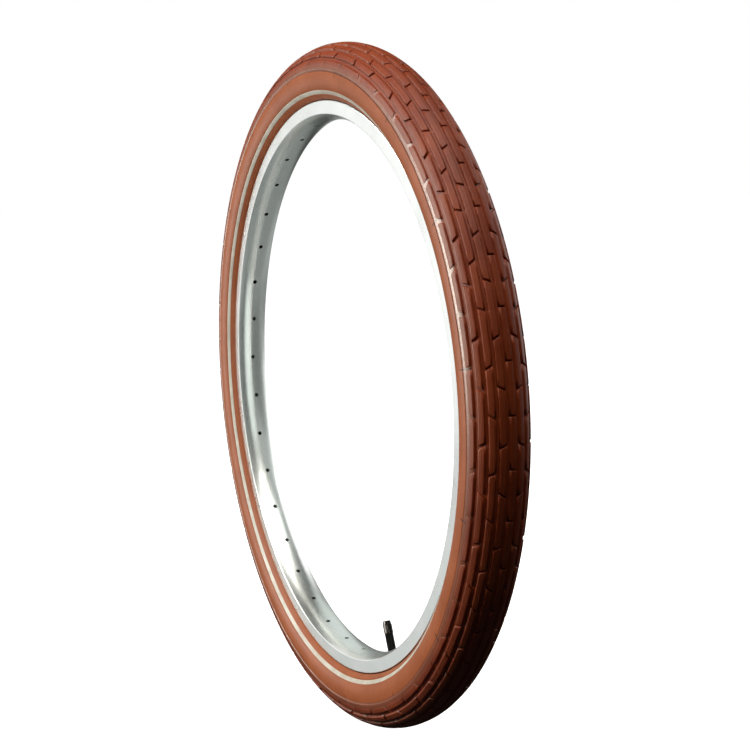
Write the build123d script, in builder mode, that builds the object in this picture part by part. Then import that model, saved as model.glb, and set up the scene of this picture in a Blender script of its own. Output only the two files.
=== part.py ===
from build123d import *
from math import acos, cos, degrees, radians, sin, sqrt
import os

os.makedirs("parts", exist_ok=True)

# A bicycle tyre mounted on an empty rim, with its tube and valve.
# The origin is the centre of the wheel, the axle line is Y and Z is up.
# Left is +Y and right is -Y. Radii are measured from the axle line.
# Sections are drawn on the XY plane, as (radius, distance along the axle).
# Angles around the wheel run from +X towards +Z.

# Rim
bead_seat_radius = 279.5  # a 559 mm bead seat
flange_height = 6.0
rim_width = 33.5
rim_side_height = 12.7  # from the flange's edge to the hub-side corner
rim_depth = 18.1  # from the flange's edge to the middle of the hub-side face
flange_wall = 1.6
bed_wall = 1.3
spoke_wall = 1.7
well_depth = 3.5
bead_seat_width = 5.15
well_slope_width = 1.5
hub_corner_fillet = 1.2
hollow_fillet = 0.6
spoke_count = 36
spoke_hole_diameter = 4.6
access_hole_diameter = 8.5
spoke_hole_stagger = 0.8
valve_angle = 297.3
valve_hole_clearance = 0.25
joint_sleeve_length = 36.0
sleeve_clearance = 0.1
tape_thickness = 0.8

# Tyre
tyre_width = 54.6
crown_lift = 5.0  # how much further out the tread's arc is centred than the casing's
tyre_lip_rise = 0.75  # height of the sidewall's foot above the flange's edge
tyre_lip_inset = 0.5  # from the rim's side face to the sidewall's foot
sidewall_thickness = 1.1
casing_thickness = 1.0
belt_thickness = 1.2
belt_half_angle = 40.0
tread_edge_rise = 4.2  # the tread starts this far outside the casing's centre
groove_pitch_angle = 18.8
groove_count = 8
groove_width = 2.8
shoulder_groove_width = 3.4  # the two outer grooves on each side
groove_depth = 1.8
stripe_rise = 7.35  # from the flange's edge to the middle of the stripe
stripe_width = 4.4
stripe_thickness = 0.25
bead_wire_diameter = 2.4
chafer_thickness = 0.45
layer_gap = 0.05  # between layers that are moulded or seated together

# Tube
tube_wall = 0.7
tube_seat_clearance = 1.2
tube_fold_fillet = 1.5
patch_length = 46.0
patch_side_margin = 0.7  # beyond the foot of the stem
patch_thickness = 2.1
pad_end_margin = 2.0  # the tube's thicker pad beyond the patch

# Valve
stem_diameter = 8.2
stem_length = 16.9  # rubber that stands clear of the rim
foot_lip = 1.2
foot_thickness = 1.2
air_hole_diameter = 3.0
insert_diameter = 6.0
insert_inset = 2.6
thread_diameter = 7.7
thread_length = 6.7
tip_chamfer = 0.5
insert_mouth_diameter = 5.3
insert_mouth_depth = 6.4
insert_cone_length = 1.2
insert_bore_diameter = 4.2
insert_bore_depth = 17.9
insert_air_diameter = 2.6
cap_clearance = 0.05
cap_skirt_wall = 0.5
cap_top_length = 3.2
cap_top_wall = 1.5
cap_top_draft = 0.3  # how much wider the top is at the skirt than at its end
cap_shoulder_wall = 0.9
cap_gasket_seat = 1.6
cap_end_wall = 1.4
cap_edge_fillet = 0.9
cap_rib_count = 24
cap_rib_diameter = 0.5
cap_seat_gap = 0.1
gasket_thickness = 0.8
gasket_lip = 0.3  # how far the gasket reaches in over the cap's hollow
gasket_side_clearance = 0.05

# Valve core
core_recess = 0.8
core_head_clearance = 0.05
core_head_length = 4.0
core_key_slot = 0.9
core_key_depth = 1.6
core_barrel_clearance = 0.3
core_barrel_length = 7.0
core_top_hole_diameter = 2.0
core_barrel_wall = 0.45
core_chamber_wall = 0.8
pin_diameter = 1.0
pin_clearance = 0.08
pin_recess = 0.3
pin_collar_clearance = 0.25
pin_collar_length = 0.6
pin_collar_drop = 0.6
pin_travel = 1.2
pin_foot_length = 0.5
seal_clearance = 0.5
seal_thickness = 1.25
core_gasket_length = 2.0
core_gasket_offset = 2.9
spring_wire_diameter = 0.3
spring_turns = 6

# Sizes that follow from those above
half_rim = rim_width / 2
flange_radius = bead_seat_radius + flange_height
flange_face = half_rim - flange_wall
side_foot_radius = flange_radius - rim_side_height
rim_hub_radius = flange_radius - rim_depth
hub_face_rise = rim_depth - rim_side_height
hub_face_arc = (half_rim**2 + hub_face_rise**2) / (2 * hub_face_rise)
hub_face_center = rim_hub_radius + hub_face_arc
well_radius = bead_seat_radius - well_depth
half_seat = flange_face - bead_seat_width
half_well = half_seat - well_slope_width
tape_radius = well_radius + layer_gap + tape_thickness

lip_offset = half_rim - tyre_lip_inset
half_tyre = tyre_width / 2
casing_center = flange_radius + tyre_lip_rise + sqrt(half_tyre**2 - lip_offset**2)
crown_center = casing_center + crown_lift
lip_angle = 180 - degrees(acos((casing_center - flange_radius - tyre_lip_rise) / half_tyre))
sidewall_inner = half_tyre - sidewall_thickness
casing_outer = sidewall_inner - layer_gap
casing_inner = casing_outer - casing_thickness
tread_edge_radius = casing_center + tread_edge_rise
belt_inner = casing_outer + layer_gap
belt_outer = belt_inner + belt_thickness
stripe_angle = degrees(acos((flange_radius + stripe_rise - casing_center) / half_tyre))
stripe_sweep = degrees(stripe_width / half_tyre)
stripe_gap_angle = degrees(layer_gap / half_tyre)

chafer_outer_face = flange_face - layer_gap
chafer_inner_face = chafer_outer_face - chafer_thickness
bead_ply_outer = chafer_inner_face - layer_gap
bead_ply_inner = bead_ply_outer - casing_thickness
bead_wrap_radius = bead_wire_diameter / 2 + layer_gap + casing_thickness
bead_wire_offset = bead_ply_outer - bead_wrap_radius
bead_wire_radius = bead_seat_radius + chafer_thickness + 2 * layer_gap + bead_wrap_radius
bead_toe = bead_wire_offset - bead_wrap_radius

tube_outer = casing_inner - layer_gap
tube_seat_radius = tape_radius + layer_gap
half_tube_lobe = bead_toe - tube_seat_clearance
foot_diameter = stem_diameter + 2 * foot_lip
patch_width = foot_diameter + 2 * patch_side_margin
patch_outer_radius = tube_seat_radius + patch_thickness
pocket_radius = patch_outer_radius + layer_gap
pad_angle = degrees((patch_length + 2 * pad_end_margin) / tube_seat_radius)

stem_end = rim_hub_radius - stem_length
foot_outer = tube_seat_radius + foot_thickness
insert_root = foot_outer - insert_inset
thread_start = stem_end - layer_gap
thread_tip = thread_start - thread_length
cap_bore = thread_diameter + 2 * cap_clearance
cap_skirt_diameter = cap_bore + 2 * cap_skirt_wall
cap_hollow = cap_bore - 2 * cap_gasket_seat
cap_top_diameter = cap_hollow + 2 * cap_top_wall
cap_neck_diameter = cap_top_diameter + cap_top_draft
cap_mouth = stem_end - cap_seat_gap
cap_shoulder = thread_tip - 2 * layer_gap - gasket_thickness
cap_skirt_end = cap_shoulder - cap_shoulder_wall
cap_end = cap_skirt_end - cap_top_length

core_head_diameter = insert_mouth_diameter - 2 * core_head_clearance
core_barrel_diameter = insert_bore_diameter - 2 * core_barrel_clearance
core_chamber_diameter = core_barrel_diameter - 2 * core_barrel_wall
pin_collar_diameter = core_chamber_diameter - 2 * pin_collar_clearance
seal_diameter = insert_bore_diameter - 2 * seal_clearance
core_top = thread_tip + core_recess
core_head_end = core_top + core_head_length
core_end = core_head_end + core_barrel_length
chamber_top = core_head_end + layer_gap
chamber_end = core_end - core_chamber_wall
collar_top = chamber_top + pin_collar_drop
collar_end = collar_top + pin_collar_length
seal_top = core_end + layer_gap
seal_end = seal_top + seal_thickness
pin_end = seal_end + layer_gap + pin_foot_length

# The valve's own directions: outward along its axis, and planes that hold or cross that axis.
outward = Vector(cos(radians(valve_angle)), 0, sin(radians(valve_angle)))
valve_axis = Axis((0, 0, 0), outward)
valve_section = Plane(origin=(0, 0, 0), x_dir=(0, 1, 0), z_dir=(outward.Z, 0, -outward.X))


def across_valve(radius):
    """The plane that crosses the valve's axis at this radius, facing outward."""
    return Plane(origin=outward * radius, x_dir=(0, 1, 0), z_dir=outward)


def section_at(angle):
    """The section plane at this angle around the wheel."""
    c = cos(radians(angle))
    s = sin(radians(angle))
    return Plane(origin=(0, 0, 0), x_dir=(c, 0, s), z_dir=(-s, 0, c))


def point_on(center, radius, angle):
    """A point of a section arc that is centred at (center, 0)."""
    return (center + radius * cos(radians(angle)), radius * sin(radians(angle)))


def arc_band(center, inner, outer, start, sweep):
    """The closed outline between two section arcs that share a centre."""
    CenterArc((center, 0), outer, start, sweep)
    CenterArc((center, 0), inner, start, sweep)
    Line(point_on(center, inner, start), point_on(center, outer, start))
    Line(point_on(center, inner, start + sweep), point_on(center, outer, start + sweep))


def oval_pad(length, width, low, high):
    """A curved oval pad between two radii, centred on the valve."""
    with BuildPart() as pad:
        with BuildSketch(Plane.XY):
            with Locations(((low + high) / 2, 0)):
                Rectangle(high - low, width)
        revolve(axis=Axis.Y)
        with BuildSketch(across_valve(low - length)):
            SlotOverall(length, width, rotation=90)
        extrude(amount=high - low + 2 * length, mode=Mode.INTERSECT)
    return pad.part


# Rim: a hollow extrusion with two flanges, a drop well and a rounded hub-side face
hollow_arc = hub_face_arc - spoke_wall


def hollow_outline(inset):
    """The outline of the rim's hollow, drawn smaller by inset on every side."""
    seat = bead_seat_radius - bed_wall - inset
    floor = well_radius - bed_wall - inset
    side = flange_face - inset
    arc = hollow_arc - inset
    corner = hub_face_center - sqrt(arc**2 - side**2)
    ThreePointArc((corner, side), (hub_face_center - arc, 0), (corner, -side))
    Polyline(
        (corner, -side),
        (seat, -side),
        (seat, -half_seat),
        (floor, -half_well),
        (floor, half_well),
        (seat, half_seat),
        (seat, side),
        (corner, side),
    )


with BuildPart() as rim:
    with BuildSketch(Plane.XY) as rim_section:
        with BuildLine():
            ThreePointArc(
                (side_foot_radius, half_rim), (rim_hub_radius, 0), (side_foot_radius, -half_rim)
            )
            Polyline(
                (side_foot_radius, -half_rim),
                (flange_radius, -half_rim),
                (flange_radius, half_rim),
                (side_foot_radius, half_rim),
            )
        make_face()
        fillet(rim_section.vertices().group_by(Axis.X)[0], hub_corner_fillet)
        with BuildLine():
            Polyline(
                (flange_radius + flange_height, flange_face),
                (bead_seat_radius, flange_face),
                (bead_seat_radius, half_seat),
                (well_radius, half_well),
                (well_radius, -half_well),
                (bead_seat_radius, -half_seat),
                (bead_seat_radius, -flange_face),
                (flange_radius + flange_height, -flange_face),
                close=True,
            )
        make_face(mode=Mode.SUBTRACT)
        fillet(rim_section.vertices().group_by(Axis.X)[-1], 0.45 * flange_wall)
        with BuildLine():
            hollow_outline(0)
        make_face(mode=Mode.SUBTRACT)
    revolve(axis=Axis.Y)
    for side, start in ((1, -180 / spoke_count), (-1, 180 / spoke_count)):
        hole_plane = Plane((0, side * spoke_hole_stagger, 0), x_dir=(1, 0, 0), z_dir=(0, -1, 0))
        with Locations(hole_plane):
            with PolarLocations(rim_hub_radius, spoke_count // 2, valve_angle + start):
                Cylinder(
                    spoke_hole_diameter / 2, 4 * spoke_wall, rotation=(0, 90, 0), mode=Mode.SUBTRACT
                )
            with PolarLocations(well_radius, spoke_count // 2, valve_angle + start):
                Cylinder(
                    access_hole_diameter / 2, 4 * bed_wall, rotation=(0, 90, 0), mode=Mode.SUBTRACT
                )
    with BuildSketch(across_valve(rim_hub_radius - rim_depth)):
        Circle(stem_diameter / 2 + valve_hole_clearance)
    extrude(amount=3 * rim_depth, mode=Mode.SUBTRACT)
rim.part.label = "rim"
export_step(rim.part, "parts/rim.step")

# The sleeve plugs the hollow where the extrusion's ends butt together, opposite the valve.
sleeve_radius = (hub_face_center - hollow_arc + well_radius - bed_wall) / 2
sleeve_angle = degrees(joint_sleeve_length / sleeve_radius)

with BuildPart() as rim_joint_sleeve:
    with BuildSketch(section_at(valve_angle - 180 + sleeve_angle / 2)):
        with BuildLine():
            hollow_outline(sleeve_clearance)
        make_face()
    revolve(axis=Axis.Y, revolution_arc=sleeve_angle)
rim_joint_sleeve.part.label = "rim_joint_sleeve"
export_step(rim_joint_sleeve.part, "parts/rim_joint_sleeve.step")

with BuildPart() as rim_tape:
    with BuildSketch(Plane.XY):
        with Locations((tape_radius - tape_thickness / 2, 0)):
            Rectangle(tape_thickness, 2 * (half_well - layer_gap))
    revolve(axis=Axis.Y)
    with BuildSketch(across_valve(rim_hub_radius)):
        Circle(stem_diameter / 2 + valve_hole_clearance)
    extrude(amount=2 * rim_depth, mode=Mode.SUBTRACT)
rim_tape.part.label = "rim_tape"
export_step(rim_tape.part, "parts/rim_tape.step")

# Tyre, from the inside out
ply_root = casing_center - sqrt(casing_inner**2 - bead_ply_inner**2)

with BuildPart() as casing:
    with BuildSketch(Plane.XY):
        with Locations((casing_center, 0)):
            Circle(casing_outer)
            Circle(casing_inner, mode=Mode.SUBTRACT)
        with Locations((casing_center - casing_outer, 0)):
            Rectangle(casing_outer, 2 * bead_ply_inner, mode=Mode.SUBTRACT)
        for side in (1, -1):
            ply_offset = side * (bead_ply_outer - casing_thickness / 2)
            with Locations(((ply_root + bead_wire_radius) / 2, ply_offset)):
                Rectangle(ply_root - bead_wire_radius, casing_thickness)
            with Locations((bead_wire_radius, side * bead_wire_offset)):
                Circle(bead_wrap_radius)
                Circle(bead_wire_diameter / 2 + layer_gap, mode=Mode.SUBTRACT)
    revolve(axis=Axis.Y)
casing.part.label = "casing"
export_step(casing.part, "parts/casing.step")

with BuildPart() as puncture_belt:
    with BuildSketch(Plane.XY):
        with BuildLine():
            arc_band(casing_center, belt_inner, belt_outer, -belt_half_angle, 2 * belt_half_angle)
        make_face()
    revolve(axis=Axis.Y)
puncture_belt.part.label = "puncture_belt"
export_step(puncture_belt.part, "parts/puncture_belt.step")

belt_space_angle = belt_half_angle + degrees(layer_gap / belt_inner)

with BuildPart() as tread:
    with BuildSketch(Plane.XY):
        with Locations((crown_center, 0)):
            Circle(half_tyre)
        with Locations((tread_edge_radius + tyre_width / 2, 0)):
            Rectangle(tyre_width, 2 * tyre_width, mode=Mode.INTERSECT)
        with Locations((casing_center, 0)):
            Circle(sidewall_inner, mode=Mode.SUBTRACT)
        with BuildLine():
            arc_band(
                casing_center,
                sidewall_inner - belt_thickness,
                belt_outer + layer_gap,
                -belt_space_angle,
                2 * belt_space_angle,
            )
        make_face(mode=Mode.SUBTRACT)
        for groove in range(groove_count):
            angle = (groove - (groove_count - 1) / 2) * groove_pitch_angle
            width = groove_width if abs(angle) < 2 * groove_pitch_angle else shoulder_groove_width
            with Locations(Location((*point_on(crown_center, half_tyre, angle), 0), (0, 0, angle))):
                Rectangle(2 * groove_depth, width, mode=Mode.SUBTRACT)
    revolve(axis=Axis.Y)
tread.part.label = "tread"
export_step(tread.part, "parts/tread.step")

# Pieces that the tyre has on both sides
foot_reach = 2 * tyre_width
chafer_top_angle = lip_angle + 1.5

for side_name, side in (("left", 1), ("right", -1)):
    with BuildPart() as sidewall:
        with BuildSketch(Plane.XY):
            with Locations((casing_center, 0)):
                Circle(half_tyre)
            with Locations(((casing_center + tread_edge_radius - layer_gap) / 2, 0)):
                Rectangle(tread_edge_rise - layer_gap, tyre_width)
            with Locations((casing_center, 0)):
                Circle(sidewall_inner, mode=Mode.SUBTRACT)
            with BuildLine():
                foot_point = point_on(casing_center, foot_reach, lip_angle)
                Polyline(
                    (casing_center, 0),
                    (tread_edge_radius - layer_gap, 0),
                    (tread_edge_radius - layer_gap, side * foot_reach),
                    (foot_point[0], side * foot_reach),
                    (foot_point[0], side * foot_point[1]),
                    close=True,
                )
            make_face(mode=Mode.INTERSECT)
            with BuildLine():
                arc_band(
                    casing_center,
                    half_tyre - stripe_thickness - layer_gap,
                    half_tyre + stripe_thickness,
                    side * (stripe_angle - stripe_sweep / 2),
                    side * stripe_sweep,
                )
            make_face(mode=Mode.SUBTRACT)
        revolve(axis=Axis.Y)
    sidewall.part.label = f"sidewall_{side_name}"
    export_step(sidewall.part, f"parts/sidewall_{side_name}.step")

    with BuildPart() as reflective_stripe:
        with BuildSketch(Plane.XY):
            with BuildLine():
                arc_band(
                    casing_center,
                    half_tyre - stripe_thickness,
                    half_tyre,
                    side * (stripe_angle - stripe_sweep / 2 + stripe_gap_angle),
                    side * (stripe_sweep - 2 * stripe_gap_angle),
                )
            make_face()
        revolve(axis=Axis.Y)
    reflective_stripe.part.label = f"reflective_stripe_{side_name}"
    export_step(reflective_stripe.part, f"parts/reflective_stripe_{side_name}.step")

    with BuildPart() as bead_wire:
        with BuildSketch(Plane.XY):
            with Locations((bead_wire_radius, side * bead_wire_offset)):
                Circle(bead_wire_diameter / 2)
        revolve(axis=Axis.Y)
    bead_wire.part.label = f"bead_wire_{side_name}"
    export_step(bead_wire.part, f"parts/bead_wire_{side_name}.step")

    # The chafer lines the seat and the flange, and ends under the foot of the sidewall.
    with BuildPart() as chafer:
        with BuildSketch(Plane.XY):
            with BuildLine():
                seat_outer = bead_seat_radius + layer_gap
                seat_inner = seat_outer + chafer_thickness
                bend_inner = casing_center - sqrt(sidewall_inner**2 - chafer_inner_face**2)
                tip_outer = point_on(casing_center, sidewall_inner + chafer_thickness, chafer_top_angle)
                tip_inner = point_on(casing_center, sidewall_inner, chafer_top_angle)
                Polyline(
                    (seat_outer, side * bead_toe),
                    (seat_outer, side * chafer_outer_face),
                    (flange_radius - chafer_thickness, side * chafer_outer_face),
                    (tip_outer[0], side * tip_outer[1]),
                    (tip_inner[0], side * tip_inner[1]),
                    (bend_inner, side * chafer_inner_face),
                    (seat_inner, side * chafer_inner_face),
                    (seat_inner, side * bead_toe),
                    close=True,
                )
            make_face()
        revolve(axis=Axis.Y)
    chafer.part.label = f"chafer_{side_name}"
    export_step(chafer.part, f"parts/chafer_{side_name}.step")

# Tube, with a thicker pad inside and a pocket outside where the valve is bonded on
with BuildPart() as inner_tube:
    with BuildSketch(Plane.XY) as tube_section:
        with Locations((casing_center, 0)):
            Circle(tube_outer)
        with Locations(((tube_seat_radius + casing_center) / 2, 0)):
            Rectangle(casing_center - tube_seat_radius, 2 * half_tube_lobe)
        corners = tube_section.vertices().sort_by(Axis.X)
        fillet(corners[0:4], tube_fold_fillet)
        offset(amount=-tube_wall, mode=Mode.SUBTRACT)
    revolve(axis=Axis.Y)
    with BuildSketch(section_at(valve_angle + pad_angle / 2)):
        with Locations(((tube_seat_radius + pocket_radius + 1.5 * tube_wall) / 2, 0)):
            Rectangle(pocket_radius + tube_wall / 2 - tube_seat_radius, 2 * half_tube_lobe - tube_wall)
    revolve(axis=Axis.Y, revolution_arc=pad_angle)
    add(
        oval_pad(
            patch_length + 2 * layer_gap,
            patch_width + 2 * layer_gap,
            tube_seat_radius - tape_thickness,
            pocket_radius,
        ),
        mode=Mode.SUBTRACT,
    )
    with BuildSketch(across_valve(rim_hub_radius)):
        Circle(air_hole_diameter / 2)
    extrude(amount=pocket_radius + 2 * tube_wall - rim_hub_radius, mode=Mode.SUBTRACT)
inner_tube.part.label = "inner_tube"
export_step(inner_tube.part, "parts/inner_tube.step")

with BuildPart() as valve_patch:
    add(oval_pad(patch_length, patch_width, tube_seat_radius, patch_outer_radius))
    with BuildSketch(across_valve(rim_hub_radius)):
        Circle(foot_diameter / 2 + layer_gap)
    extrude(amount=foot_outer + layer_gap - rim_hub_radius, mode=Mode.SUBTRACT)
    with BuildSketch(across_valve(rim_hub_radius)):
        Circle(air_hole_diameter / 2)
    extrude(amount=2 * rim_depth, mode=Mode.SUBTRACT)
valve_patch.part.label = "valve_patch"
export_step(valve_patch.part, "parts/valve_patch.step")

# Valve: every piece is turned about the valve's axis, drawn as (distance from the axis, radius)
with BuildPart() as valve_stem_rubber:
    with BuildSketch(valve_section):
        with BuildLine():
            Polyline(
                (insert_diameter / 2 + layer_gap, stem_end),
                (stem_diameter / 2, stem_end),
                (stem_diameter / 2, tube_seat_radius),
                (foot_diameter / 2, tube_seat_radius),
                (foot_diameter / 2, foot_outer),
                (air_hole_diameter / 2, foot_outer),
                (air_hole_diameter / 2, insert_root + layer_gap),
                (insert_diameter / 2 + layer_gap, insert_root + layer_gap),
                close=True,
            )
        make_face()
    revolve(axis=valve_axis)
valve_stem_rubber.part.label = "valve_stem_rubber"
export_step(valve_stem_rubber.part, "parts/valve_stem_rubber.step")

mouth_end = thread_tip + insert_mouth_depth
cone_end = mouth_end + insert_cone_length
bore_end = thread_tip + insert_bore_depth

with BuildPart() as valve_stem_insert:
    with BuildSketch(valve_section):
        with BuildLine():
            Polyline(
                (insert_mouth_diameter / 2, thread_tip),
                (thread_diameter / 2 - tip_chamfer, thread_tip),
                (thread_diameter / 2, thread_tip + tip_chamfer),
                (thread_diameter / 2, thread_start),
                (insert_diameter / 2, thread_start),
                (insert_diameter / 2, insert_root),
                (insert_air_diameter / 2, insert_root),
                (insert_air_diameter / 2, bore_end),
                (insert_bore_diameter / 2, bore_end),
                (insert_bore_diameter / 2, cone_end),
                (insert_mouth_diameter / 2, mouth_end),
                close=True,
            )
        make_face()
    revolve(axis=valve_axis)
valve_stem_insert.part.label = "valve_stem_insert"
export_step(valve_stem_insert.part, "parts/valve_stem_insert.step")

with BuildPart() as core_body:
    with BuildSketch(valve_section):
        with BuildLine():
            Polyline(
                (core_top_hole_diameter / 2, core_top),
                (core_head_diameter / 2, core_top),
                (core_head_diameter / 2, core_head_end),
                (core_barrel_diameter / 2, core_head_end),
                (core_barrel_diameter / 2, core_end),
                (pin_diameter / 2 + pin_clearance, core_end),
                (pin_diameter / 2 + pin_clearance, chamber_end),
                (core_chamber_diameter / 2, chamber_end),
                (core_chamber_diameter / 2, chamber_top),
                (core_top_hole_diameter / 2, chamber_top),
                close=True,
            )
        make_face()
    revolve(axis=valve_axis)
    with BuildSketch(across_valve(core_top)):
        Rectangle(core_key_slot, 2 * core_head_diameter)
    extrude(amount=core_key_depth, mode=Mode.SUBTRACT)
core_body.part.label = "core_body"
export_step(core_body.part, "parts/core_body.step")

with BuildPart() as core_gasket:
    with BuildSketch(across_valve(core_head_end + core_gasket_offset)):
        Circle(insert_bore_diameter / 2 - layer_gap)
        Circle(core_barrel_diameter / 2 + layer_gap, mode=Mode.SUBTRACT)
    extrude(amount=core_gasket_length)
core_gasket.part.label = "core_gasket"
export_step(core_gasket.part, "parts/core_gasket.step")

with BuildPart() as core_pin:
    with BuildSketch(across_valve(thread_tip + pin_recess)):
        Circle(pin_diameter / 2)
    extrude(amount=pin_end - thread_tip - pin_recess)
    with BuildSketch(across_valve(collar_top)):
        Circle(pin_collar_diameter / 2)
    extrude(amount=pin_collar_length)
    with BuildSketch(across_valve(seal_end + layer_gap)):
        Circle(seal_diameter / 2)
    extrude(amount=pin_foot_length)
core_pin.part.label = "core_pin"
export_step(core_pin.part, "parts/core_pin.step")

with BuildPart() as core_seal:
    with BuildSketch(across_valve(seal_top)):
        Circle(seal_diameter / 2)
        Circle(pin_diameter / 2 + layer_gap, mode=Mode.SUBTRACT)
    extrude(amount=seal_thickness)
core_seal.part.label = "core_seal"
export_step(core_seal.part, "parts/core_seal.step")

spring_start = collar_end + layer_gap + spring_wire_diameter / 2
spring_length = chamber_end - layer_gap - spring_wire_diameter / 2 - spring_start
spring_radius = (pin_collar_diameter - spring_wire_diameter) / 2

with BuildPart() as core_spring:
    with BuildLine() as coil:
        Helix(
            spring_length / spring_turns,
            spring_length,
            spring_radius,
            center=outward * spring_start,
            direction=outward,
        )
    with BuildSketch(Plane(origin=coil.line @ 0, z_dir=coil.line % 0)):
        Circle(spring_wire_diameter / 2)
    sweep(is_frenet=True)
core_spring.part.label = "core_spring"
export_step(core_spring.part, "parts/core_spring.step")

with BuildPart() as cap_gasket:
    with BuildSketch(across_valve(cap_shoulder + layer_gap)):
        Circle(cap_bore / 2 - gasket_side_clearance)
        Circle(cap_hollow / 2 - gasket_lip, mode=Mode.SUBTRACT)
    extrude(amount=gasket_thickness)
cap_gasket.part.label = "cap_gasket"
export_step(cap_gasket.part, "parts/cap_gasket.step")

with BuildPart() as valve_cap:
    with BuildSketch(valve_section) as cap_section:
        with BuildLine():
            Polyline(
                (cap_bore / 2, cap_mouth),
                (cap_skirt_diameter / 2, cap_mouth),
                (cap_skirt_diameter / 2, cap_skirt_end),
                (cap_neck_diameter / 2, cap_skirt_end),
                (cap_top_diameter / 2, cap_end),
                (0, cap_end),
                (0, cap_end + cap_end_wall),
                (cap_hollow / 2, cap_end + cap_end_wall),
                (cap_hollow / 2, cap_shoulder),
                (cap_bore / 2, cap_shoulder),
                close=True,
            )
        make_face()
    revolve(axis=valve_axis)
    fillet(valve_cap.edges().sort_by(valve_axis)[0], cap_edge_fillet)
    with BuildSketch(across_valve(cap_skirt_end)):
        with PolarLocations(cap_skirt_diameter / 2 + cap_rib_diameter / 4, cap_rib_count):
            Circle(cap_rib_diameter / 2)
    extrude(amount=cap_mouth - cap_skirt_end, mode=Mode.SUBTRACT)
valve_cap.part.label = "valve_cap"
export_step(valve_cap.part, "parts/valve_cap.step")
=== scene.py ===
from math import acos, cos, degrees, radians, sin, sqrt

import bpy
from mathutils import Matrix, Vector


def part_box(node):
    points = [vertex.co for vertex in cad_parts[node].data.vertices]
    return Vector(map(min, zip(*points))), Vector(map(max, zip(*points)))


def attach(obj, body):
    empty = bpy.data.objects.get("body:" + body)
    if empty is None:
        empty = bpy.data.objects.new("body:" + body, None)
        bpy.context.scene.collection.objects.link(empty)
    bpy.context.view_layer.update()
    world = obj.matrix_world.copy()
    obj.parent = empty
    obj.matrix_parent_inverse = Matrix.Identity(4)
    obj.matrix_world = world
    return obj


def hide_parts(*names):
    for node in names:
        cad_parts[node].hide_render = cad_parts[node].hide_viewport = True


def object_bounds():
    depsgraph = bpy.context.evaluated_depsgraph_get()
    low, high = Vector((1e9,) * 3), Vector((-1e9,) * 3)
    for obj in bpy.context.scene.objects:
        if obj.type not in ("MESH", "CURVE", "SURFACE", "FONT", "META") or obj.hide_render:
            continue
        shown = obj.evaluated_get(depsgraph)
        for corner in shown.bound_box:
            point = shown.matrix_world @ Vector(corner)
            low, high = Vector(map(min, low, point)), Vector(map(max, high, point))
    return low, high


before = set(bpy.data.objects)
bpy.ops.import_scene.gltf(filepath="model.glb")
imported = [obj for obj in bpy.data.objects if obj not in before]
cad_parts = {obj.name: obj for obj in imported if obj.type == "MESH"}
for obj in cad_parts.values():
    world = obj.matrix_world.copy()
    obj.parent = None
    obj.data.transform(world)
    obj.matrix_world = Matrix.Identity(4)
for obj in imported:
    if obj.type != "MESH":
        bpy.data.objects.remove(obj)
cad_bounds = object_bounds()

# A bicycle tyre on its rim. The tread, the sidewalls and the stripes are fine meshes, and the other
# pieces are the CAD's own, with materials.
# Meshes are worked out in millimetres and degrees. Sections are (radius from the axle, distance along
# the axle). Angles around the wheel run from +X towards +Z, and angles around the section run from the
# crown to the sides.


def reach(node, axis):
    """How far a CAD node reaches along an axis."""
    return round(1000 * getattr(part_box(node)[1], axis), 2)


FLANGE_RADIUS = reach("rim", "x")
HALF_RIM = reach("rim", "y")
HALF_TYRE = reach("sidewall_left", "y")
LIP_RISE = 0.75  # height of the sidewall's foot above the flange's edge
LIP_INSET = 0.5  # from the rim's side face to the sidewall's foot
CROWN_LIFT = 5.0  # how much further out the tread's arc is centred than the casing's
TREAD_EDGE_RISE = 4.2  # the tread starts this far outside the casing's centre
WALL_THICKNESS = 1.1
LAYER_GAP = 0.05
STRIPE_RISE = 7.35  # from the flange's edge to the middle of the stripe
STRIPE_WIDTH = 4.4

LIP_DROP = sqrt(HALF_TYRE**2 - (HALF_RIM - LIP_INSET) ** 2)
LIP_ANGLE = 180 - degrees(acos(LIP_DROP / HALF_TYRE))
CASING_CENTER = FLANGE_RADIUS + LIP_RISE + LIP_DROP
CROWN_CENTER = CASING_CENTER + CROWN_LIFT
INNER_RADIUS = HALF_TYRE - WALL_THICKNESS

scene = bpy.context.scene
scene.view_settings.view_transform = "Standard"


# Mesh tools
def make_piece(name, points, faces, body, replaced, sharp=None):
    """A smooth-shaded mesh piece. Edges sharper than the angle stay sharp."""
    mesh = bpy.data.meshes.new(name)
    mesh.from_pydata([(x / 1000, y / 1000, z / 1000) for x, y, z in points], [], faces)
    mesh.update()
    mesh.shade_smooth()
    if sharp:
        mesh.set_sharp_from_angle(angle=radians(sharp))
    piece = bpy.data.objects.new(name, mesh)
    scene.collection.objects.link(piece)
    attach(piece, body)
    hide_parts(*replaced)
    return piece


def turned(radius, offset, angle):
    """A point at this radius, distance along the axle and angle around the wheel."""
    return (radius * cos(radians(angle)), offset, radius * sin(radians(angle)))


def ring_mesh(section, steps):
    """Points and faces of a closed section that is turned about the axle."""
    count = len(section)
    points = [turned(r, y, 360 * i / steps) for i in range(steps) for r, y in section]
    faces = []
    for i in range(steps):
        here, ahead = i * count, (i + 1) % steps * count
        for j in range(count):
            k = (j + 1) % count
            faces.append((here + j, here + k, ahead + k, ahead + j))
    return points, faces


def casing_point(radius, angle, side=1):
    """A section point at this radius and angle around the casing's centre."""
    return CASING_CENTER + radius * cos(radians(angle)), side * radius * sin(radians(angle))


def casing_arc(radius, start, end, count, side=1):
    """Section points of an arc about the casing's centre."""
    angles = [start + (end - start) * i / (count - 1) for i in range(count)]
    return [casing_point(radius, angle, side) for angle in angles]


def crown_point(angle, height):
    """A section point above or below the crown's arc. Positive angles are on the right side, -Y."""
    radius = HALF_TYRE + height
    return CROWN_CENTER + radius * cos(radians(angle)), -radius * sin(radians(angle))


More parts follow.
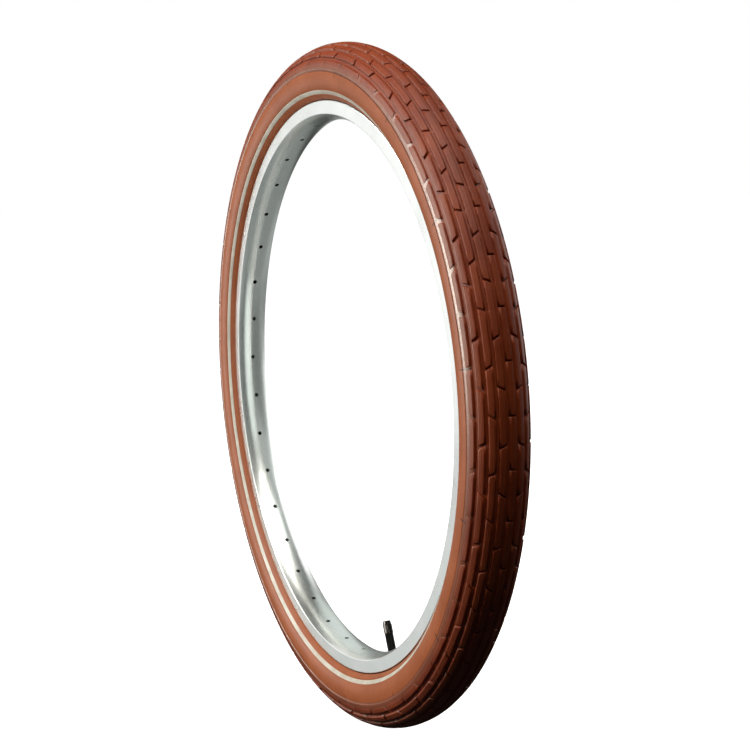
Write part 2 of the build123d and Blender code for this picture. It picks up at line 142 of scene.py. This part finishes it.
# Tread base: grooved between the shoulders, with a smooth rail along each shoulder
TREAD_STEPS = 450
GROOVE_DEPTH = 1.8
EDGE_ANGLE = 91.6
FLOOR_EDGE = 67
# Section angle, and height against the crown's arc
RAIL = (
    (68.5, -1.8),
    (71.0, -0.75),
    (76.0, -0.42),
    (80.0, -0.14),
    (83.5, 0.0),
    (87.0, -0.02),
    (89.0, -0.12),
    (90.2, -0.5),
    (92.0, -0.55),
)


def base_height(angle):
    """Height of the base against the crown's arc: the grooves' floor, then the rail at the shoulder."""
    for (a0, h0), (a1, h1) in zip(RAIL, RAIL[1:]):
        if a0 <= abs(angle) <= a1:
            return h0 + (h1 - h0) * (abs(angle) - a0) / (a1 - a0)
    return -GROOVE_DEPTH


def tread_base():
    """The base ring's section, in steps of one degree along the rails and about four between them."""
    rail_steps, floor_steps, inner_points = 24, 34, 25
    rail = [-EDGE_ANGLE + i for i in range(rail_steps)]
    floor = [FLOOR_EDGE * (2 * i / floor_steps - 1) for i in range(floor_steps + 1)]
    angles = rail + floor + [-angle for angle in reversed(rail)]
    edge = degrees(acos(TREAD_EDGE_RISE / INNER_RADIUS))
    outer = [crown_point(angle, base_height(angle)) for angle in angles]
    return outer + casing_arc(INNER_RADIUS, edge, -edge, inner_points)


# Tread bricks: nine rows, from -4 on the left shoulder to 4 on the right one
ROW_EDGES = ((-5.3, 5.3), (12.3, 23.8), (31.0, 42.0), (50.0, 61.3), (70.0, 83.2))
GAP_HALF_WIDTHS = (0.8, 1.05, 1.15, 1.6, 1.8)
SHOULDER_ROW = len(ROW_EDGES) - 1
REPEATS = 25
PERIOD = 360 / REPEATS
# Where the two gaps of each row lie in a period
CROWN_GAPS = (6.45, 13.65)
EVEN_ROW_GAPS = (13.0, 6.4)
ODD_ROW_GAPS = (2.45, 10.15)
GAP_LEAN = 0.044  # degrees around the wheel for each degree across the row
SKIRT_DEPTH = 0.15  # how far a brick's walls reach into the base
# How far the shoulder bricks' tops fall and their gaps widen: from this angle, over this many degrees,
# by this many millimetres
TOP_FALL = (78, 5, 0.16)
GAP_FLARE = (76, 7, 1.4)
# How a brick rounds over: distance in from its long edges, distance in from its ends, and height
# against its top, where None is the foot of its walls
BRICK_EDGE = (
    (-0.85, -0.45, None),
    (-0.14, -0.1, -0.75),
    (0.04, 0.03, -0.36),
    (0.22, 0.14, -0.13),
    (0.52, 0.32, -0.015),
    (0.9, 0.6, 0.0),
)


def gap_lines(row):
    """The gaps across a row in one period: angle, lean and half width."""
    half = GAP_HALF_WIDTHS[abs(row)]
    if row == 0:
        return [(angle, 0.0, half) for angle in CROWN_GAPS]
    back, ahead = EVEN_ROW_GAPS if row % 2 == 0 else ODD_ROW_GAPS
    return sorted([(back, -GAP_LEAN, half), (ahead, GAP_LEAN, half)])


def growth(angle, start, span, size):
    """A change that begins at an angle and grows with the square of the distance from it."""
    return size * (max(angle - start, 0) / span) ** 2


def brick_point(row, left, right, u, v, side_inset, end_inset, height):
    """A point of a brick. Both from 0 to 1, u runs from gap to gap and v across the row."""
    low, high = ROW_EDGES[abs(row)]
    shrink = degrees(side_inset / HALF_TYRE)
    angle = low + shrink + v * (high - low - 2 * shrink)
    if abs(row) == SHOULDER_ROW and v == 1:
        angle = high
    off_middle = angle - (low + high) / 2
    inset = growth(angle, *GAP_FLARE) + end_inset
    radius = crown_point(angle, 0)[0]
    start = left[0] + left[1] * off_middle + degrees((left[2] + inset) / radius)
    end = right[0] + right[1] * off_middle - degrees((right[2] + inset) / radius)
    level = base_height(angle) - SKIRT_DEPTH if height is None else height - growth(angle, *TOP_FALL)
    side = -1 if row < 0 else 1
    return turned(*crown_point(side * angle, level), start + (end - start) * u)


def add_brick(points, faces, row, left, right):
    """Adds one brick between two gap lines: rings of points that round it over, and a grid on top."""
    along, across = 6, 4 if abs(row) == SHOULDER_ROW else 3
    border = [(i, 0) for i in range(along)] + [(along, j) for j in range(across)]
    border += [(along - i, across) for i in range(along)] + [(0, across - j) for j in range(across)]
    count = len(border)
    base = len(points)

    def place(i, j, inset):
        return brick_point(row, left, right, i / along, j / across, *inset)

    def add_face(*corners):
        faces.append(corners[::-1] if row < 0 else corners)

    for inset in BRICK_EDGE:
        points.extend(place(i, j, inset) for i, j in border)
    for ring in range(len(BRICK_EDGE) - 1):
        lower = base + ring * count
        upper = lower + count
        for i in range(count):
            j = (i + 1) % count
            add_face(lower + i, lower + j, upper + j, upper + i)
    top_ring = base + (len(BRICK_EDGE) - 1) * count
    grid = {corner: top_ring + i for i, corner in enumerate(border)}
    for i in range(1, along):
        for j in range(1, across):
            grid[i, j] = len(points)
            points.append(place(i, j, BRICK_EDGE[-1]))
    for i in range(along):
        for j in range(across):
            add_face(grid[i, j], grid[i + 1, j], grid[i + 1, j + 1], grid[i, j + 1])


def add_row(points, faces, row):
    """Adds a row's bricks, two for each period."""
    gaps = gap_lines(row)
    turns = range(REPEATS + 1)
    lines = [(angle + PERIOD * turn, lean, half) for turn in turns for angle, lean, half in gaps]
    for left, right in zip(lines[: 2 * REPEATS], lines[1:]):
        add_brick(points, faces, row, left, right)


points, faces = ring_mesh(tread_base(), TREAD_STEPS)
base_face_count = len(faces)
for row in range(-SHOULDER_ROW, SHOULDER_ROW + 1):
    add_row(points, faces, row)
tread = make_piece("tread_bricks", points, faces, "wheel", ["tread"])


# Sidewalls: a smooth wall with fine moulded rings, a seat for the stripe and a rounded lip
SIDE_STEPS = 360
WALL_TOP = TREAD_EDGE_RISE - LAYER_GAP
# Rise above the flange's edge, height and half width of each ring
MOULDED_RINGS = ((2.3, 0.22, 0.35), (3.5, 0.16, 0.3))
SEAT_DEPTH = 0.3
SEAT_MARGIN = 0.2
STRIPE_BASE = 0.34  # depth of the stripe's back below the wall's face
STRIPE_EDGE = 0.14  # depth of its rounded edges


def wall_height(angle):
    """Height of the moulded rings and the stripe's seat against the wall's plain face."""
    rise = casing_point(HALF_TYRE, angle)[0] - FLANGE_RADIUS
    height = sum(size * max(0, 1 - ((rise - at) / half) ** 2) for at, size, half in MOULDED_RINGS)
    if abs(rise - STRIPE_RISE) < STRIPE_WIDTH / 2 + SEAT_MARGIN:
        height -= SEAT_DEPTH
    return height


def sidewall_section(side):
    outer_steps, inner_points = 150, 12
    top = degrees(acos(WALL_TOP / HALF_TYRE))
    angles = [top + (LIP_ANGLE - top) * i / outer_steps for i in range(outer_steps + 1)]
    outer = [casing_point(HALF_TYRE + wall_height(angle), angle, side) for angle in angles]
    inner_top = degrees(acos(WALL_TOP / INNER_RADIUS))
    return outer + casing_arc(INNER_RADIUS, LIP_ANGLE, inner_top, inner_points, side)


def stripe_section(side):
    middle = degrees(acos((FLANGE_RADIUS + STRIPE_RISE - CASING_CENTER) / HALF_TYRE))
    half = degrees(STRIPE_WIDTH / 2 / HALF_TYRE)
    shares = [i / 6 - 1 for i in range(13)]
    face = [casing_point(HALF_TYRE - STRIPE_EDGE * s**8, middle + half * s, side) for s in shares]
    return face + [casing_point(HALF_TYRE - STRIPE_BASE, middle + half * s, side) for s in (1, -1)]


def side_piece(name, section, side, replaced, sharp):
    """A ring on one side of the wheel, with its faces outward."""
    points, faces = ring_mesh(section(side), SIDE_STEPS)
    if side > 0:
        faces = [face[::-1] for face in faces]
    return make_piece(name, points, faces, "wheel", [replaced], sharp)


def make_wall(side, word):
    name, replaced = f"sidewall_skin_{word}", f"sidewall_{word}"
    return side_piece(name, sidewall_section, side, replaced, 40)


def make_stripe(side, word):
    name, replaced = f"stripe_film_{word}", f"reflective_stripe_{word}"
    return side_piece(name, stripe_section, side, replaced, 50)


walls, stripes = [], []
for side, word in ((1, "left"), (-1, "right")):
    walls.append(make_wall(side, word))
    stripes.append(make_stripe(side, word))


# Materials. Lengths in them are in metres.
class Tree:
    """A node tree with short calls that add nodes. Values are numbers, colours or other nodes' outputs."""

    def __init__(self, owner):
        owner.use_nodes = True
        self.nodes = owner.node_tree.nodes
        self.links = owner.node_tree.links

    def give(self, value, socket):
        """Links an output to a socket, or sets the socket to a value."""
        if isinstance(value, bpy.types.NodeSocket):
            self.links.new(value, socket)
        else:
            socket.default_value = value

    def add(self, kind, inputs=(), **settings):
        node = self.nodes.new(kind)
        for key, value in settings.items():
            setattr(node, key, value)
        for key, value in dict(inputs).items():
            self.give(value, node.inputs[key])
        return node

    def shade(self, **inputs):
        """Sets or links sockets of the main shader. Their names are written with _ for each space."""
        for key, value in inputs.items():
            self.give(value, self.nodes["Principled BSDF"].inputs[key.replace("_", " ")])

    def math(self, operation, *values):
        return self.add("ShaderNodeMath", enumerate(values), operation=operation).outputs[0]

    def place(self):
        return self.add("ShaderNodeTexCoord").outputs["Object"]

    def noise(self, scale, detail=3.0, roughness=0.5, place=None):
        inputs = {"Scale": scale, "Detail": detail, "Roughness": roughness}
        inputs["Vector"] = place or self.place()
        return self.add("ShaderNodeTexNoise", inputs).outputs["Fac"]

    def spread(self, value, low, high, start=0.0, end=1.0, kind="LINEAR"):
        """Maps a value that runs from start to end onto low to high."""
        inputs = {"Value": value, "From Min": start, "From Max": end, "To Min": low, "To Max": high}
        return self.add("ShaderNodeMapRange", inputs, interpolation_type=kind).outputs["Result"]

    def two_tone(self, factor, low, high, start=0.3, end=0.7):
        ramp = self.add("ShaderNodeValToRGB", {"Fac": factor})
        for element, position, color in zip(ramp.color_ramp.elements, (start, end), (low, high)):
            element.position = position
            element.color = (*color, 1)
        return ramp.outputs["Color"]

    def bump(self, height, strength, distance, below=None):
        inputs = {"Height": height, "Strength": strength, "Distance": distance}
        if below:
            inputs["Normal"] = below
        return self.add("ShaderNodeBump", inputs).outputs["Normal"]


def section_angle(tree):
    """The angle around the tyre's section, in radians, from the place on the object."""
    split = tree.add("ShaderNodeSeparateXYZ", {0: tree.place()}).outputs
    flat = tree.add("ShaderNodeCombineXYZ", {"X": split["X"], "Z": split["Z"]}).outputs[0]
    radius = tree.add("ShaderNodeVectorMath", {0: flat}, operation="LENGTH").outputs["Value"]
    rise = tree.math("SUBTRACT", radius, CROWN_CENTER / 1000)
    return tree.math("ABSOLUTE", tree.math("ARCTAN2", split["Y"], rise))


# Painted shade lines across the shoulder: their spacing, where the first one lies, their edges and where
# they fade
CUT_SHADE_PITCH = 22.5
CUT_SHADE_START = 13.1
CUT_SHADE_HALF_WIDTHS = (0.0005, 0.0028)  # where a painted shade line's edge starts and ends, in radians around the wheel
CUT_SHADE_FADE = (radians(97), radians(101))  # the angles around the section between which the painted shade lines end


def painted_cut_shade(tree):
    """Painted shade: fine dark radial lines across the shoulder that stand in for the shade in thin cuts."""
    split = tree.add("ShaderNodeSeparateXYZ", {0: tree.place()}).outputs
    around = tree.math("ARCTAN2", split["Z"], split["X"])
    past_first = tree.math("SUBTRACT", around, radians(CUT_SHADE_START - 360))
    apart = tree.math("PINGPONG", past_first, radians(CUT_SHADE_PITCH / 2))
    line = tree.spread(apart, 1.0, 0.0, *CUT_SHADE_HALF_WIDTHS, "SMOOTHSTEP")
    shoulder = tree.spread(section_angle(tree), 1.0, 0.0, *CUT_SHADE_FADE, "SMOOTHSTEP")
    return tree.math("MULTIPLY", line, shoulder)


# Colour of the painted shade lines that stand in for the shade in thin cuts across the shoulder
CUT_SHADE_COLOR = (0.03, 0.008, 0.004, 1)
RIBS_PER_RADIAN = 130.0


def rubber(name, low, high, shine, bump, specular, ribs=0.0, cut_shade=False):
    """Moulded rubber: mottled colour, uneven shine and a fine skin, with fine ribs along it and painted
    shade lines across the shoulder if asked for.
    """
    material = bpy.data.materials.new(name)
    tree = Tree(material)
    color = tree.two_tone(tree.noise(26.0, 6.0, 0.62), low, high, 0.34, 0.68)
    if cut_shade:
        # Painted shade: dark lines that stand in for the shade in thin cuts across the shoulder
        # Sockets 0, 6 and 7 are the factor and the two colours
        shaded = tree.add("ShaderNodeMix", data_type="RGBA")
        for socket, value in ((0, painted_cut_shade(tree)), (6, color), (7, CUT_SHADE_COLOR)):
            tree.give(value, shaded.inputs[socket])
        color = shaded.outputs[2]
    normal = tree.bump(tree.noise(120.0, 2.0), bump, 0.0006)
    normal = tree.bump(tree.noise(900.0, 3.0, 0.6), bump, 0.0002, normal)
    if ribs:
        wave = tree.math("SINE", tree.math("MULTIPLY", section_angle(tree), RIBS_PER_RADIAN))
        normal = tree.bump(wave, ribs, 0.00012, normal)
    roughness = tree.spread(tree.noise(190.0, 4.0), shine - 0.06, shine + 0.08)
    tree.shade(Base_Color=color, Roughness=roughness, Specular_IOR_Level=specular, Normal=normal)
    return material


def film(name):
    """Pale reflective film with fine cells and a little dirt."""
    material = bpy.data.materials.new(name)
    tree = Tree(material)
    cells = tree.add("ShaderNodeTexVoronoi", {"Scale": 1400.0, "Vector": tree.place()}).outputs["Distance"]
    dirt = tree.noise(60.0, 5.0, 0.6)
    color = tree.two_tone(dirt, (0.42, 0.38, 0.31), (0.56, 0.53, 0.45), 0.35, 0.65)
    tree.shade(Base_Color=color, Roughness=0.38, Normal=tree.bump(cells, 0.3, 0.0002))
    return material


def metal(name, low, high, roughness, grain, bump):
    """Metal with stretched grain, and a slight change of tone along it."""
    material = bpy.data.materials.new(name)
    tree = Tree(material)
    stretch = tree.add("ShaderNodeMapping", {"Vector": tree.place(), "Scale": grain}).outputs["Vector"]
    lines = tree.noise(1.0, place=stretch)
    tree.shade(
        Base_Color=tree.two_tone(tree.noise(40.0, 4.0), low, high),
        Metallic=1.0,
        Roughness=tree.spread(lines, roughness - 0.05, roughness + 0.07),
        Normal=tree.bump(lines, bump, 0.0001),
    )
    return material


def plain(name, low, high, roughness, grain, bump=0.15, **shader):
    """Moulded or woven stuff that is mostly out of sight: two tones and a fine bump."""
    material = bpy.data.materials.new(name)
    tree = Tree(material)
    color = tree.two_tone(tree.noise(grain / 12, 4.0), low, high)
    normal = tree.bump(tree.noise(grain), bump, 0.0002)
    tree.shade(Base_Color=color, Roughness=roughness, Normal=normal, **shader)
    return material


def dress(material, *names):
    """Gives CAD nodes a material."""
    for name in names:
        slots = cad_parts[name].data.materials
        slots.clear()
        slots.append(material)


RAIL_START = 70  # the section angle where the smooth rubber begins, whose paler tone is partly painted highlight
RAIL_OFFSET = 24


def dress_tread():
    """The tread's rubber, and smoother rubber along the rails, whose paler tone is partly painted highlight
    on the rails and on the shoulder gaps' floors.
    """
    brick_tones = (0.225, 0.031, 0.005), (0.305, 0.053, 0.011)
    bricks = rubber("tread_rubber_mat", *brick_tones, 0.48, 0.16, 0.38, ribs=0.3)
    # Paler than the bricks: partly the smoother rubber's own tone, and partly painted highlight where the
    # shoulder rail and the shoulder gaps' floors catch the light
    rail_highlight_tones = (0.25, 0.062, 0.026), (0.32, 0.088, 0.040)
    rail_highlight = rubber("tread_rail_highlight_mat", *rail_highlight_tones, 0.34, 0.06, 0.8, cut_shade=True)
    tread.data.materials.append(bricks)
    tread.data.materials.append(rail_highlight)
    highest = HALF_TYRE * cos(radians(RAIL_START))
    for face in tread.data.polygons[:base_face_count]:
        place = face.center * 1000
        rise = sqrt(place.x**2 + place.z**2) - CROWN_CENTER
        if rise < highest and abs(place.y) > RAIL_OFFSET:
            face.material_index = 1


def dress_sides():
    """The sidewalls' smooth rubber and the stripes' film."""
    tones = (0.265, 0.073, 0.026), (0.33, 0.096, 0.037)
    # The sidewalls also get the painted shade lines across the shoulder
    smooth = rubber("sidewall_rubber_mat", *tones, 0.44, 0.12, 0.26, cut_shade=True)
    pale = film("reflective_film_mat")
    for wall in walls:
        wall.data.materials.append(smooth)
    for stripe in stripes:
        stripe.data.materials.append(pale)


def dress_rim():
    """The rim, its sleeve and its tape."""
    tones = (0.83, 0.86, 0.83), (0.90, 0.92, 0.90)
    aluminium = metal("rim_aluminium_mat", *tones, 0.28, (30, 2600, 30), 0.12)
    cloth = plain("tape_cloth_mat", (0.62, 0.59, 0.52), (0.74, 0.71, 0.65), 0.85, 900.0, 0.4)
    dress(aluminium, "rim", "rim_joint_sleeve")
    dress(cloth, "rim_tape")


def dress_layers():
    """The layers inside the tyre, and the tube."""
    ply = plain("nylon_ply_mat", (0.24, 0.16, 0.10), (0.34, 0.24, 0.15), 0.8, 1200.0, 0.4)
    belt = plain("belt_rubber_mat", (0.03, 0.025, 0.02), (0.06, 0.045, 0.03), 0.7, 700.0)
    wire = plain("bead_steel_mat", (0.30, 0.24, 0.16), (0.42, 0.34, 0.22), 0.4, 900.0, 0.1, Metallic=1.0)
    chafer_tones = (0.006, 0.006, 0.006), (0.016, 0.014, 0.013)
    chafer = plain("chafer_fabric_mat", *chafer_tones, 0.8, 1600.0, 0.5)
    butyl = plain("butyl_mat", (0.008, 0.008, 0.008), (0.03, 0.03, 0.03), 0.65, 500.0)
    dress(ply, "casing")
    dress(belt, "puncture_belt")
    dress(wire, "bead_wire_left", "bead_wire_right")
    dress(chafer, "chafer_left", "chafer_right")
    dress(butyl, "inner_tube", "valve_patch")


def dress_valve():
    """The stem, the core and the cap."""
    stem_tones = (0.003, 0.003, 0.003), (0.008, 0.0075, 0.007)
    stem = plain("valve_rubber_mat", *stem_tones, 0.4, 2500.0, 0.3, Specular_IOR_Level=0.2)
    cap_tones = (0.004, 0.0038, 0.0036), (0.010, 0.0093, 0.0085)
    cap = plain("cap_plastic_mat", *cap_tones, 0.26, 3000.0, 0.1, Specular_IOR_Level=0.4)
    brass = metal("valve_brass_mat", (0.62, 0.44, 0.18), (0.74, 0.55, 0.26), 0.28, (900, 900, 900), 0.1)
    steel = metal("core_steel_mat", (0.55, 0.55, 0.54), (0.66, 0.66, 0.65), 0.25, (900, 900, 900), 0.1)
    seal = plain("seal_rubber_mat", (0.008, 0.008, 0.008), (0.018, 0.018, 0.018), 0.55, 1500.0)
    sealing_plastic = plain("core_ptfe_mat", (0.45, 0.03, 0.02), (0.6, 0.05, 0.03), 0.4, 900.0)
    dress(stem, "valve_stem_rubber")
    dress(cap, "valve_cap")
    dress(brass, "valve_stem_insert", "core_body")
    dress(steel, "core_pin", "core_spring")
    dress(seal, "core_seal", "cap_gasket")
    dress(sealing_plastic, "core_gasket")


dress_tread()
dress_sides()
dress_rim()
dress_layers()
dress_valve()

# Camera. Its place is in metres, and its lens and sensor are in millimetres.
AZIMUTH = radians(66.773)
ELEVATION = radians(11.236)
DISTANCE = 1.27721
LENS = 60.10848
SENSOR_WIDTH = 36.0
# How far to the right of the wheel's centre and above it the camera looks, for each metre of distance
LOOK_RIGHT, LOOK_UP = 0.02737, 0.00941


def make_camera():
    back = Vector((sin(AZIMUTH) * cos(ELEVATION), -cos(AZIMUTH) * cos(ELEVATION), sin(ELEVATION)))
    across = Vector((cos(AZIMUTH), sin(AZIMUTH), 0))
    upright = across.cross(-back)
    forward = (-back + LOOK_RIGHT * across + LOOK_UP * upright).normalized()
    right = forward.cross(Vector((0, 0, 1))).normalized()
    turn = Matrix((right, right.cross(forward), -forward)).transposed().to_quaternion()
    data = bpy.data.cameras.new("photo_camera")
    data.sensor_width = SENSOR_WIDTH
    data.lens = LENS
    data.clip_start = 0.01
    camera = bpy.data.objects.new("photo_camera", data)
    camera.matrix_world = Matrix.LocRotScale(back * DISTANCE, turn, None)
    scene.collection.objects.link(camera)
    return camera


scene.camera = make_camera()


# Lights
def softbox(name, direction, distance, width, height, power, color=(1, 1, 1), aim=(0, 0, 0)):
    """A rectangular light that stands in a direction from the point that it aims at. Sizes are in metres."""
    data = bpy.data.lights.new(name, "AREA")
    data.shape = "RECTANGLE"
    data.size = width
    data.size_y = height
    data.energy = power
    data.color = color
    light = bpy.data.objects.new(name, data)
    target = Vector(aim)
    light.location = target + Vector(direction).normalized() * distance
    light.rotation_euler = (target - light.location).to_track_quat("-Z", "Y").to_euler()
    scene.collection.objects.link(light)
    return light


def light_up(group_name, pieces, rows, sheen_only=False):
    """Lights that shine on these pieces and nothing else. Sheen-only lights show just in reflections."""
    group = bpy.data.collections.new(group_name)
    for piece in pieces:
        group.objects.link(piece)
    for row in rows:
        light = softbox(*row)
        light.light_linking.receiver_collection = group
        light.visible_diffuse = not sheen_only


# A light's row: name, direction, distance, width, height, power, colour, and the point that it aims at
SILVER = (0.93, 1.0, 0.96)
ROOM_LIGHTS = (
    ("key_light", (-0.36, -0.80, 0.42), 2.4, 1.3, 1.3, 52, (1.0, 0.98, 0.93)),
    ("top_light", (0.17, -0.15, 0.97), 2.3, 2.2, 2.2, 46, (1.0, 0.97, 0.90)),
    ("back_fill", (-0.20, 0.95, 0.25), 2.4, 2.0, 2.0, 20),
)
TREAD_LIGHTS = (
    ("shoulder_kicker", (-0.70, -0.70, 0.0), 2.2, 0.5, 0.6, 20, (1.0, 0.97, 0.88)),
    ("block_kicker", (-0.42, -0.88, 0.10), 2.2, 0.5, 0.8, 24, (0.94, 1.0, 0.84)),
)
WALL_LIGHTS = (
    ("wall_kicker", (-0.72, -0.68, -0.06), 2.2, 0.5, 0.6, 12, (1.0, 1.0, 0.95)),
    ("wall_fill", (0.62, -0.77, -0.1), 2.2, 1.0, 1.0, 17),
)
RIM_LIGHTS = (
    ("wall_panel", (-0.90, -0.40, 0.05), 2.0, 1.9, 1.3, 6.2),
    ("side_panel", (-0.60, -0.80, -0.05), 2.2, 1.2, 1.6, 6.8),
    ("low_panel", (-0.90, -0.40, -0.60), 2.3, 2.2, 1.1, 3.0),
    ("band_panel", (1.0, -0.16, -0.05), 1.8, 0.75, 2.6, 7.2, SILVER, (-0.27, 0, 0)),
    ("over_band", (0.2, 0.0, 1.0), 2.0, 2.8, 0.5, 4.2, SILVER),
    ("under_band", (0.0, 0.0, -1.0), 1.5, 2.6, 0.4, 1.8, SILVER),
    ("front_panel", (0.9, 0.55, 0.05), 2.2, 3.2, 3.4, 5.5, SILVER, (-0.2, 0, 0)),
    ("near_panel", (0.35, -1.0, -0.1), 2.2, 2.0, 3.0, 11.0, SILVER, (-0.2, 0, 0)),
    ("far_panel", (0.0, 1.0, 0.0), 2.2, 2.2, 3.2, 4.5, SILVER),
    ("floor_panel", (-0.15, 0.05, -1.0), 1.5, 5.0, 4.2, 15.0, SILVER),
    ("ceiling_panel", (0.35, 0.40, 0.9), 2.0, 2.6, 2.6, 6.0, SILVER, (0, 0, -0.2)),
    ("bottom_panel", (-0.85, 0.28, 0.38), 2.2, 2.0, 1.8, 8.5, SILVER, (0, 0, -0.2)),
)
CAP_LIGHTS = (
    ("cap_light", (-0.17, -1.0, -0.03), 1.4, 0.5, 0.9, 55, (1.0, 0.90, 0.80), (0.111, 0, -0.213)),
)

for row in ROOM_LIGHTS:
    softbox(*row)
light_up("tread_lights", [tread], TREAD_LIGHTS, sheen_only=True)
light_up("wall_lights", [*walls, *stripes], WALL_LIGHTS)
light_up("rim_lights", [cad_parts["rim"]], RIM_LIGHTS)
light_up("cap_lights", [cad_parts["valve_cap"]], CAP_LIGHTS, sheen_only=True)


# Floor and surroundings
FLOOR_HALF_SIZE = 9
FLOOR_GAP = 0.0002  # below the tread


def make_floor():
    """A pale floor that neither lights the object nor shows in it."""
    quarters = ((-1, -1), (1, -1), (1, 1), (-1, 1))
    corners = [(x * FLOOR_HALF_SIZE, y * FLOOR_HALF_SIZE, 0) for x, y in quarters]
    mesh = bpy.data.meshes.new("floor")
    mesh.from_pydata(corners, [], [(0, 1, 2, 3)])
    floor = bpy.data.objects.new("floor", mesh)
    floor.location = (0, 0, cad_bounds[0][2] - FLOOR_GAP)
    scene.collection.objects.link(floor)
    material = bpy.data.materials.new("floor_mat")
    Tree(material).shade(
        Base_Color=(0.9, 0.9, 0.9, 1),
        Roughness=0.9,
        Specular_IOR_Level=0.0,
        Emission_Color=(1, 1, 1, 1),
        Emission_Strength=1.0,
    )
    mesh.materials.append(material)
    floor.visible_diffuse = False
    floor.visible_glossy = False
    floor.visible_shadow = False
    return floor


def make_world():
    """A white backdrop for the camera, and a dim room for everything else."""
    scene.world = bpy.data.worlds.new("studio")
    tree = Tree(scene.world)
    room = tree.nodes["Background"]
    tree.give(0.02, room.inputs["Strength"])
    tree.give((0.97, 1.0, 0.98, 1), room.inputs["Color"])
    backdrop = tree.add("ShaderNodeBackground", {"Strength": 1.0, "Color": (1, 1, 1, 1)})
    seen = tree.add("ShaderNodeLightPath").outputs["Is Camera Ray"]
    mix = tree.add("ShaderNodeMixShader", {0: seen, 1: room.outputs[0], 2: backdrop.outputs[0]})
    tree.give(mix.outputs[0], tree.nodes["World Output"].inputs["Surface"])


floor = make_floor()
make_world()
